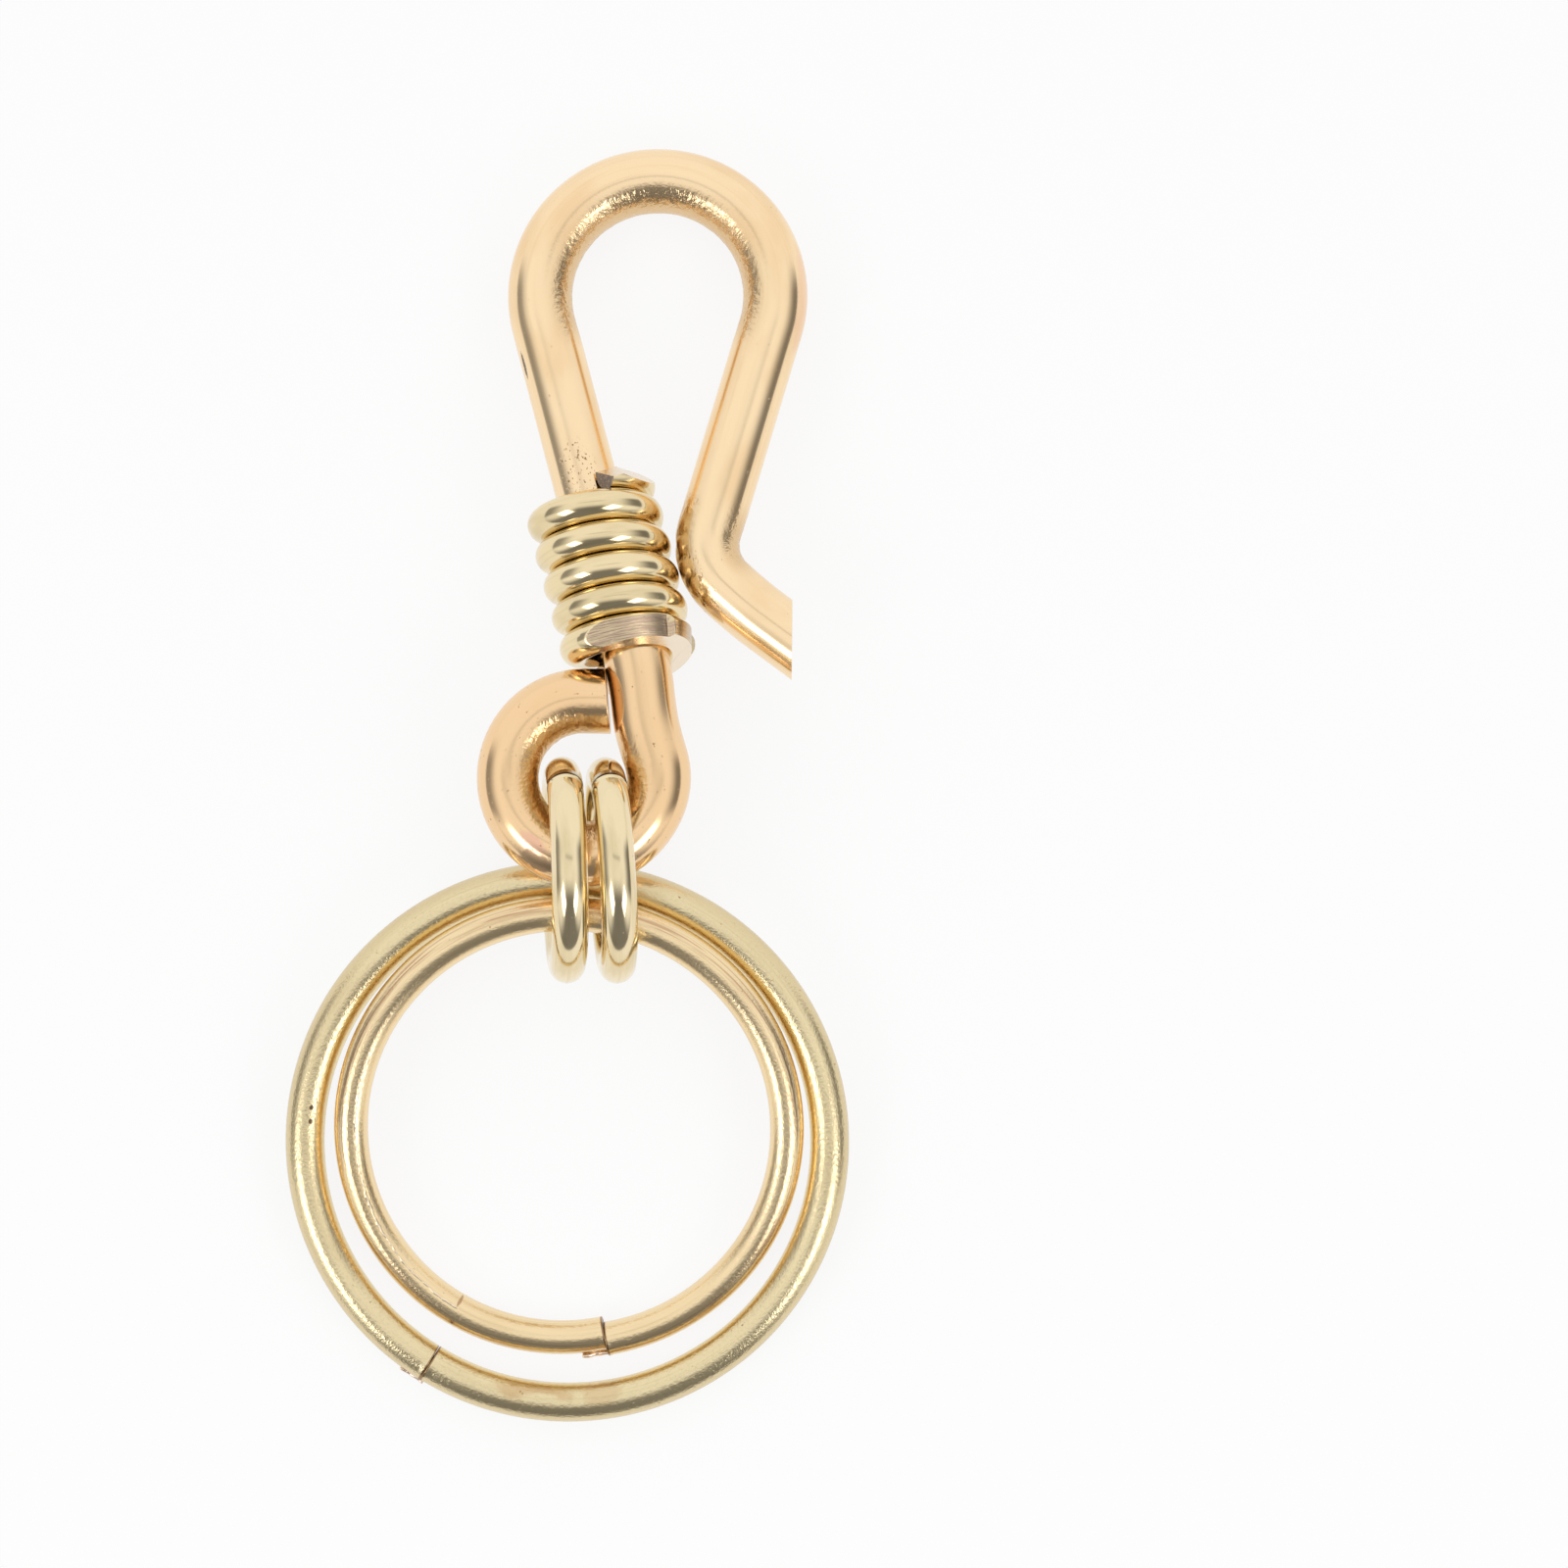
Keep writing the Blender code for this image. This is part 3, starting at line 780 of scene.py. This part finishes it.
def wrap_shape():
    """A helix that climbs the shank from right to front to left, made about an upright axis."""
    turns = WRAP_FULL_TURNS + (WRAP_END_ANGLE - WRAP_START_ANGLE) / 360
    rise = math.atan(WRAP_PITCH / (2 * math.pi * WRAP_HELIX_RADIUS))
    start = Vector((WRAP_HELIX_RADIUS, 0, 0))
    wire = DrawnWire(WRAP_WIRE_RADIUS, WRAP_SIDES, WRAP_STEP, start, -90)
    tilt = Matrix.Translation(start) @ Matrix.Rotation(-rise, 4, "X") @ Matrix.Translation(-start)
    bmesh.ops.transform(wire.shape, matrix=tilt, verts=wire.shape.verts)
    length = turns * 2 * math.pi * WRAP_HELIX_RADIUS
    climb = Vector((0, 0, WRAP_PITCH * turns))
    for vert in wire.carry(length, Vector((0, 0, 0)), -360 * turns, climb):
        part_turn = -math.atan2(vert.co.y, vert.co.x) / (2 * math.pi)
        turned = round(vert.co.z / WRAP_PITCH - part_turn) + part_turn
        out = math.hypot(vert.co.x, vert.co.y) - WRAP_HELIX_RADIUS
        up = vert.co.z - turned * WRAP_PITCH
        vert[wire.stock] = (out, up, turned * 2 * math.pi * WRAP_HELIX_RADIUS)
    wire.close(SAWN_EDGE)
    turn = Matrix.Rotation(-math.radians(WRAP_START_ANGLE), 4, "Z")
    lift = Matrix.Translation((0, 0, WRAP_HEIGHT + WRAP_PITCH * WRAP_START_ANGLE / 360))
    lean = Matrix(((1, 0, 0, 0), (0, 1, 0, 0), (0, -WRAP_LEAN, 1, 0), (0, 0, 0, 1)))
    bmesh.ops.transform(wire.shape, matrix=lean @ lift @ turn, verts=wire.shape.verts)
    return wire


def wrap_relief(stock):
    """The small flats and waves that winding by hand left in the wire."""
    waves = noise.noise(Vector((stock.x * 500, stock.y * 500, stock.z * 260)))
    flats = noise.noise(stock * 900 + Vector((3, 5, 7)))
    return waves * WRAP_WAVE_DEPTH + flats * WRAP_FLAT_DEPTH


def by_shank(right, front, along):
    """A point or a direction told from the shank: to its right, to its front and up it."""
    return Vector((right, -front, along))


def file_front(wire):
    """Files the front of the lowest turn to a cone that ends in a step at the right."""
    filed = set()
    for vert in wire.shape.verts:
        right, front, along = vert.co.x, -vert.co.y, vert.co.z
        angle = math.degrees(math.atan2(front, right))
        reach = math.hypot(right, front)
        limit = FILED_RADIUS + FILED_SLOPE * (along - FILED_HEIGHT)
        step = FILED_STEP * (1 - step_up(angle, *FILED_STEP_ANGLES))
        limit += step + FILED_RUNOUT * step_up(angle, *FILED_RUNOUT_ANGLES)
        at_front = FILED_START < angle < FILED_END
        if vert[wire.stock].z < wrap_place(FILED_LAST_PLACE) and at_front and reach > limit:
            vert.co.x *= limit / reach
            vert.co.y *= limit / reach
            filed.add(vert)
    for face in wire.shape.faces:
        if filed.issuperset(face.verts):
            face[wire.worked] = SAWN
    wire.shape.normal_update()


def trim_wrap(wire):
    """Files the front, grinds both ends flat and chops the top end off."""
    file_front(wire)
    for point, facing in (LOW_END_GROUND, TOP_END_GROUND, TOP_SIDE_GROUND):
        wire.grind(by_shank(*point), by_shank(*facing).normalized(), GROUND)
    point, facing = TOP_END_CHOP
    top_turn = wrap_place(360 * WRAP_FULL_TURNS)
    wire.grind(by_shank(*point), by_shank(*facing).normalized(), CHOPPED, top_turn)


def wrap_lie():
    """Stands the helix round the shank."""
    along = heading_vector(shank_heading())
    right = heading_vector(SHANK_LEAN)
    upright = Matrix((right, Vector((0, 0, -1)), along)).transposed().to_4x4()
    return hook_lie() @ Matrix.Translation(shank_foot()) @ upright


def wrap_finish():
    """Polished greenish brass, a little clouded, with filed, ground and chopped places; the ground
    flats are tinted pale, partly as bright fresh metal and partly as a painted reflection of the
    white board.
    """
    brass = Finish("wrap_brass", GREEN_BRASS, 0.12)
    cloud = brass.noise(0.0016, stretch=3, detail=3)
    brass.tint(cloud.rise(0.42, 0.75) * 0.6, OLIVE_BRASS)
    brass.draw_lines(0.00026, 0.0000035, OLIVE_BRASS)
    brass.pits(1, 0.00028, 0.00002, BROWN_TARNISH_AND_SEAM_SHADE, 0.735)
    brass.scratch(brass.marked(SAWN), FILED_BRASS, 0.00003)
    # Pale tint on the ground flats: partly bright fresh-ground metal, partly a painted reflection of
    # the white board.
    brass.tint(brass.marked(GROUND) * 0.9, CREAM_BRASS)
    chopped = brass.marked(CHOPPED, CHOPPED)
    mottle = brass.noise(0.00022, detail=3, rough=0.7)
    brass.tint(chopped, CHOPPED_BRASS)
    brass.tint(chopped * mottle.rise(0.5, 0.6) * 0.7, FILED_BRASS)
    brass.raise_by(mottle * chopped, 0.00012)
    brass.roughen(chopped, 0.1)
    return brass.finish()


wrap_wire = wrap_shape()
wrap_wire.press(wrap_relief)
fine_start, fine_end = (wrap_place(angle) for angle in FINE_MESH_ANGLES)
wrap_wire.refine(lambda stock: fine_start < stock.z < fine_end and stock.x > 0, 2)
trim_wrap(wrap_wire)
bmesh.ops.transform(wrap_wire.shape, matrix=wrap_lie(), verts=wrap_wire.shape.verts)
wrap = add_mesh_object("shank_wrap", wrap_wire.shape, wrap_finish())
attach(wrap, "hook")
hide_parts("wire_wrap")

# The two link rings.
# Each is a ring of polished 2.8 mm brass wire, bent round until its sawn ends butt. The two stand
# almost on edge, side by side through the hook's eye, and hold the key rings.

LINK_WIRE_RADIUS = 0.0014
LINK_BEND_RADIUS = 0.00725
LINK_JOINT_ANGLE = 32.0
LINK_JOINT_GAP = 0.00003
RING_SIDES = 48
RING_STEP = 0.0005
RING_EDGE = 0.00002

LINK_WAVE_DEPTH = 0.000026
LINK_FLAT_DEPTH = 0.000011
LINK_THINNING = 0.000035

LINK_BRASS = (0.87, 0.73, 0.47)


def ring_shape(wire_radius, bend_radius, joint_angle, joint_gap):
    """A butt-jointed ring in the XY plane, round the origin."""
    half_gap = math.degrees(joint_gap / bend_radius) / 2
    start = heading_vector(joint_angle + half_gap) * bend_radius
    wire = DrawnWire(wire_radius, RING_SIDES, RING_STEP, start, joint_angle + half_gap + 90)
    wire.bend(bend_radius, 360 - 2 * half_gap)
    wire.close(RING_EDGE)
    return wire


def link_lie(joint, node):
    """Stands a ring up in the plane square to its joint's axis, round the middle of its CAD box."""
    axis = Vector(next(j["axis"] for j in frame["joints"] if j["name"] == joint)).normalized()
    low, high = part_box(node)
    back = Vector((0, 1, 0)) - axis * axis.y
    back.normalize()
    facing = Matrix((back, axis.cross(back), axis)).transposed().to_4x4()
    return Matrix.Translation((Vector(low) + Vector(high)) / 2) @ facing


def link_relief(stock):
    """Waves and small flats in the hand-bent wire, which polishing left a little thinner."""
    waves = noise.noise(Vector((stock.x * 400, stock.y * 400, stock.z * 240)) + Vector((1, 9, 4)))
    flats = noise.noise(stock * 1000)
    return waves * LINK_WAVE_DEPTH + flats * LINK_FLAT_DEPTH - LINK_THINNING


def link_finish(length):
    """Polished greenish brass, with painted shade that darkens the joint into a thin dark crack."""
    brass = Finish("link_brass", LINK_BRASS, 0.11)
    cloud = brass.noise(0.0015, stretch=3, detail=3)
    brass.tint(cloud.rise(0.42, 0.75) * 0.55, OLIVE_BRASS)
    brass.draw_lines(0.00026, 0.0000035, OLIVE_BRASS)
    brass.pits(1, 0.00028, 0.00002, BROWN_TARNISH_AND_SEAM_SHADE, 0.73)
    # Painted shade in the joint's crack.
    brass.seam(length, BROWN_TARNISH_AND_SEAM_SHADE)
    brass.scratch(brass.marked(SAWN), BROWN_TARNISH_AND_SEAM_SHADE, 0.000006)
    return brass.finish()


link_brass = link_finish(2 * math.pi * LINK_BEND_RADIUS)
for side in ("left", "right"):
    link_wire = ring_shape(LINK_WIRE_RADIUS, LINK_BEND_RADIUS, LINK_JOINT_ANGLE, LINK_JOINT_GAP)
    link_wire.press(link_relief)
    lie = link_lie(f"link_{side}_swing", f"link_ring_{side}")
    bmesh.ops.transform(link_wire.shape, matrix=lie, verts=link_wire.shape.verts)
    link = add_mesh_object(f"{side}_link", link_wire.shape, link_brass)
    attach(link, f"link_{side}")
    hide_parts(f"link_ring_{side}")

# The large key ring.
# It is a ring of 3.0 mm brass wire with a soft drawn skin, about 43 mm across, bent round until its
# sheared ends butt. It hangs in both links and slopes down from them to the table.

LARGE_WIRE_RADIUS = 0.0015
LARGE_BEND_RADIUS = 0.0202
LARGE_JOINT_ANGLE = 238.5
LARGE_JOINT_GAP = 0.00008

RING_WAVE_DEPTH = 0.000010
LIP_HEIGHT = 0.00006
LIP_REACH = 0.0005
LARGE_LIP_SIDE = 150

# The torn sliver at the joint: how far out its middle is, how thick it is and its arc.
LARGE_BURR_OUT = 0.00154
LARGE_BURR_THICKNESS = 0.00030
LARGE_BURR_ARC = 5.5
BURR_START = 1
BURR_SIDES = 16
BURR_STEP = 0.0001

# Marks on the ring, told as on the hook.
STAIN = (0.0085, 62, 0.0036, 0.0010)
CLEAN_IN_STAIN = (0.0092, 80, 0.0022, 0.0007)
FAINT_STAIN = (0.0140, 60, 0.0018, 0.0011)
LARGE_PITS = ((0.1035, 73, 0.00022, 0.00018), (0.1046, 71, 0.00022, 0.00018))

PALE_BRASS = (0.82, 0.69, 0.425)
# Faded tone of the metal, also used as painted shade on the large ring's outer half.
FADED_AND_SHADED_BRASS = (0.62, 0.48, 0.27)
# Painted reflection of the neighbouring brass, laid along the large ring's inner rim.
INNER_RIM_REFLECTION_GOLD = (0.88, 0.70, 0.36)
TORN_BRASS = (0.92, 0.74, 0.62)


def key_ring_lie(joint, wire_radius, bend_radius):
    """Lays a key ring down from its top wire in the links to the table."""
    top = joint_place(joint)
    slope = math.asin((top.z - wire_radius) / (2 * bend_radius))
    hang = Matrix.Translation((0, -bend_radius, 0))
    return Matrix.Translation(top) @ Matrix.Rotation(slope, 4, "X") @ hang


def joint_lips(length, around):
    """The lips that stand up where a ring's ends were cut: most on one side of the wire."""

    def depth(stock):
        from_end = min(stock.z, length - stock.z)
        side = math.cos(math.atan2(stock.y, stock.x) - math.radians(around))
        torn = 1 + noise.noise(Vector((stock.x, stock.y, 0)) * 1800)
        waves = noise.noise(Vector((stock.x * 300, stock.y * 300, stock.z * 130)))
        near_end = 1 - step_up(from_end, 0, LIP_REACH)
        return LIP_HEIGHT * torn * max(0, side) * near_end + waves * RING_WAVE_DEPTH

    return depth


def add_burr(wire, radius, thick, joint_angle, arc):
    """Adds a thin tongue that the shears left on a ring's rim, from its joint backwards."""
    angle = joint_angle + BURR_START
    start = heading_vector(angle) * radius
    burr = DrawnWire(thick / 2, BURR_SIDES, BURR_STEP, start, angle - 90)
    burr.bend(radius, -arc)
    burr.close(thick / 8)
    burr.press(lambda stock: noise.noise(stock * 1500) * thick * 0.35)
    bmesh.ops.scale(burr.shape, vec=(1, 1, 1.8), verts=burr.shape.verts)
    for face in burr.shape.faces:
        face[burr.worked] = GROUND
    mesh = bpy.data.meshes.new("burr")
    burr.shape.to_mesh(mesh)
    burr.shape.free()
    wire.shape.from_mesh(mesh)


def near_ends(length):
    """Chooses the last millimetre at both of a ring's ends."""
    return lambda stock: min(stock.z, length - stock.z) < 0.0010


def large_finish(length):
    """Pale drawn brass: a fine sparkle, brown tarnish on one spot, pits and dull sawn ends, with
    painted shade over the outer half and in the joint and a painted gold reflection on the inner rim.
    """
    brass = Finish("large_ring_brass", PALE_BRASS, 0.20)
    inward = brass.left
    cloud = brass.noise(0.0030, stretch=4, detail=3)
    brass.tint(cloud.rise(0.45, 0.75) * 0.5, FADED_AND_SHADED_BRASS)
    # Painted reflection: a gold line along the inner rim, where the wire mirrors the brass beside it.
    brass.tint(inward.rise(0.0010, 0.0014) * 0.40, INNER_RIM_REFLECTION_GOLD)
    # Painted shade: the outer half of the wire is darker, standing in for the shaded table that it
    # mirrors.
    brass.tint((0 - inward).rise(0.0004, 0.0012) * 0.35, FADED_AND_SHADED_BRASS)
    brass.draw_lines(0.00022, 0.0000045, FADED_AND_SHADED_BRASS)
    sparkle = brass.noise(0.00018, stretch=1.5, detail=2, rough=0.7)
    brass.raise_by(sparkle, 0.000030)
    brass.tint(sparkle.rise(0.50, 0.70) * 0.25, FADED_AND_SHADED_BRASS)
    brass.pits(1, 0.00030, 0.00003, BROWN_TARNISH_AND_SEAM_SHADE, 0.715)
    # Painted shade in the joint's crack.
    brass.seam(length, BROWN_TARNISH_AND_SEAM_SHADE)
    stain = brass.patch(*STAIN, LARGE_WIRE_RADIUS, ragged=0.4)
    clean = brass.patch(*CLEAN_IN_STAIN, LARGE_WIRE_RADIUS, ragged=0.4)
    brass.tint(stain * (1 - clean) * 0.6, BROWN_BRASS)
    brass.tint(brass.patch(*FAINT_STAIN, LARGE_WIRE_RADIUS) * 0.4, BROWN_BRASS)
    for mark in LARGE_PITS:
        pit = brass.patch(*mark, LARGE_WIRE_RADIUS)
        brass.tint(pit, DARK_SCALE)
        brass.raise_by(pit, -0.00005)
    brass.scratch(brass.marked(SAWN, CHOPPED), BROWN_TARNISH_AND_SEAM_SHADE, 0.000006)
    brass.tint(brass.marked(GROUND), TORN_BRASS)
    return brass.finish()


large_wire = ring_shape(LARGE_WIRE_RADIUS, LARGE_BEND_RADIUS, LARGE_JOINT_ANGLE, LARGE_JOINT_GAP)
large_wire.refine(near_ends(large_wire.length), 3)
large_wire.press(joint_lips(large_wire.length, LARGE_LIP_SIDE))
burr_radius = LARGE_BEND_RADIUS + LARGE_BURR_OUT
add_burr(large_wire, burr_radius, LARGE_BURR_THICKNESS, LARGE_JOINT_ANGLE, LARGE_BURR_ARC)
lie = key_ring_lie("large_ring_swing", LARGE_WIRE_RADIUS, LARGE_BEND_RADIUS)
bmesh.ops.transform(large_wire.shape, matrix=lie, verts=large_wire.shape.verts)
large_ring = add_mesh_object("large_ring", large_wire.shape, large_finish(large_wire.length))
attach(large_ring, "large_ring")
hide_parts("large_key_ring")

# The small key ring.
# It is a ring of 2.6 mm drawn brass wire, about 36 mm across, bent and sheared like the large one,
# with one end curled in a little past the other. It hangs in both links, inside the large ring.

SMALL_WIRE_RADIUS = 0.0013
SMALL_BEND_RADIUS = 0.01675
SMALL_JOINT_ANGLE = 280.0
SMALL_CURL_ANGLE = 60.0
SMALL_END_STEP = 0.00045
SMALL_JOINT_GAP = 0.00006
SMALL_LIP_SIDE = 120
SMALL_BURR_OUT = 0.00108
SMALL_BURR_THICKNESS = 0.00042
SMALL_BURR_ARC = 7.5

# A step across the wire, told as the marks on the hook, and the torn ridge that runs up to it.
TORN_STEP = (0.0930, 40, 0.00014, 0.0007)
TORN_RIDGE_ALONG = (0.0700, 0.0930)
TORN_RIDGE_INWARD = (0.00062, 0.00066)

GOLDEN_BRASS = (0.91, 0.72, 0.44)
DEEP_GOLD = (0.68, 0.48, 0.24)
RED_BROWN = (0.48, 0.28, 0.15)
# Painted reflection of the large ring, laid along the small ring's outer rim.
OUTER_RIM_REFLECTION_GOLD = (0.96, 0.66, 0.22)


def small_shape():
    """The small ring, whose last part is bent tighter, so that its end lies inward."""
    half_gap = math.degrees(SMALL_JOINT_GAP / SMALL_BEND_RADIUS) / 2
    start = heading_vector(SMALL_JOINT_ANGLE + half_gap) * SMALL_BEND_RADIUS
    heading = SMALL_JOINT_ANGLE + half_gap + 90
    wire = DrawnWire(SMALL_WIRE_RADIUS, RING_SIDES, RING_STEP, start, heading)
    wire.bend(SMALL_BEND_RADIUS, 360 - 2 * half_gap - SMALL_CURL_ANGLE)
    curl = math.radians(SMALL_CURL_ANGLE)
    radius = SMALL_BEND_RADIUS - SMALL_END_STEP / (1 - math.cos(curl))
    reach = (SMALL_BEND_RADIUS - radius) * math.sin(curl) / radius
    wire.bend(radius, SMALL_CURL_ANGLE + math.degrees(math.asin(reach)))
    wire.close(RING_EDGE)
    return wire


def small_finish(length):
    """Golden drawn brass, with brown brushed streaks on its outer half, a painted gold reflection
    along its outer rim and painted shade in the joint.
    """
    brass = Finish("small_ring_brass", GOLDEN_BRASS, 0.20)
    inward = brass.left
    outward = 0 - inward
    cloud = brass.noise(0.0028, stretch=5, detail=3)
    brass.tint(cloud.rise(0.45, 0.75) * 0.5, DEEP_GOLD)
    outer = outward.rise(0.0001, 0.0007) * (1 - outward.rise(0.0009, 0.0012))
    streaks = brass.noise(0.00016, stretch=40, detail=3, rough=0.6)
    brass.tint(outer * streaks.rise(0.42, 0.62) * 0.75, RED_BROWN)
    # Painted reflection: a bright gold line along the outer rim, where the wire mirrors the large
    # ring.
    brass.tint(outward.rise(0.0011, 0.0013) * 0.45, OUTER_RIM_REFLECTION_GOLD)
    brass.draw_lines(0.00022, 0.000005, DEEP_GOLD)
    brass.raise_by(streaks * outer, 0.000006)
    sparkle = brass.noise(0.00018, stretch=1.5, detail=2, rough=0.7)
    brass.raise_by(sparkle, 0.000022)
    # Painted shade in the joint's crack.
    brass.seam(length, BROWN_TARNISH_AND_SEAM_SHADE)
    brass.pits(1, 0.00030, 0.00003, BROWN_TARNISH_AND_SEAM_SHADE, 0.73)
    step = brass.patch(*TORN_STEP, SMALL_WIRE_RADIUS)
    brass.tint(step * 0.8, RED_BROWN)
    brass.raise_by(step, -0.00005)
    torn = brass.noise(0.0006, stretch=2) * 0.0004
    ridge = (inward + torn).band(*TORN_RIDGE_INWARD, 0.00007)
    ridge = ridge * brass.along.band(*TORN_RIDGE_ALONG, 0.0002)
    brass.tint(ridge * 0.6, CREAM_BRASS)
    brass.raise_by(ridge, 0.00003)
    brass.scratch(brass.marked(SAWN, CHOPPED), BROWN_TARNISH_AND_SEAM_SHADE, 0.000006)
    brass.tint(brass.marked(GROUND), TORN_BRASS)
    return brass.finish()


small_wire = small_shape()
small_wire.refine(near_ends(small_wire.length), 3)
small_wire.press(joint_lips(small_wire.length, SMALL_LIP_SIDE))
burr_radius = SMALL_BEND_RADIUS + SMALL_BURR_OUT
add_burr(small_wire, burr_radius, SMALL_BURR_THICKNESS, SMALL_JOINT_ANGLE, SMALL_BURR_ARC)
lie = key_ring_lie("small_ring_swing", SMALL_WIRE_RADIUS, SMALL_BEND_RADIUS)
bmesh.ops.transform(small_wire.shape, matrix=lie, verts=small_wire.shape.verts)
small_ring = add_mesh_object("small_ring", small_wire.shape, small_finish(small_wire.length))
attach(small_ring, "small_ring")
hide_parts("small_key_ring")
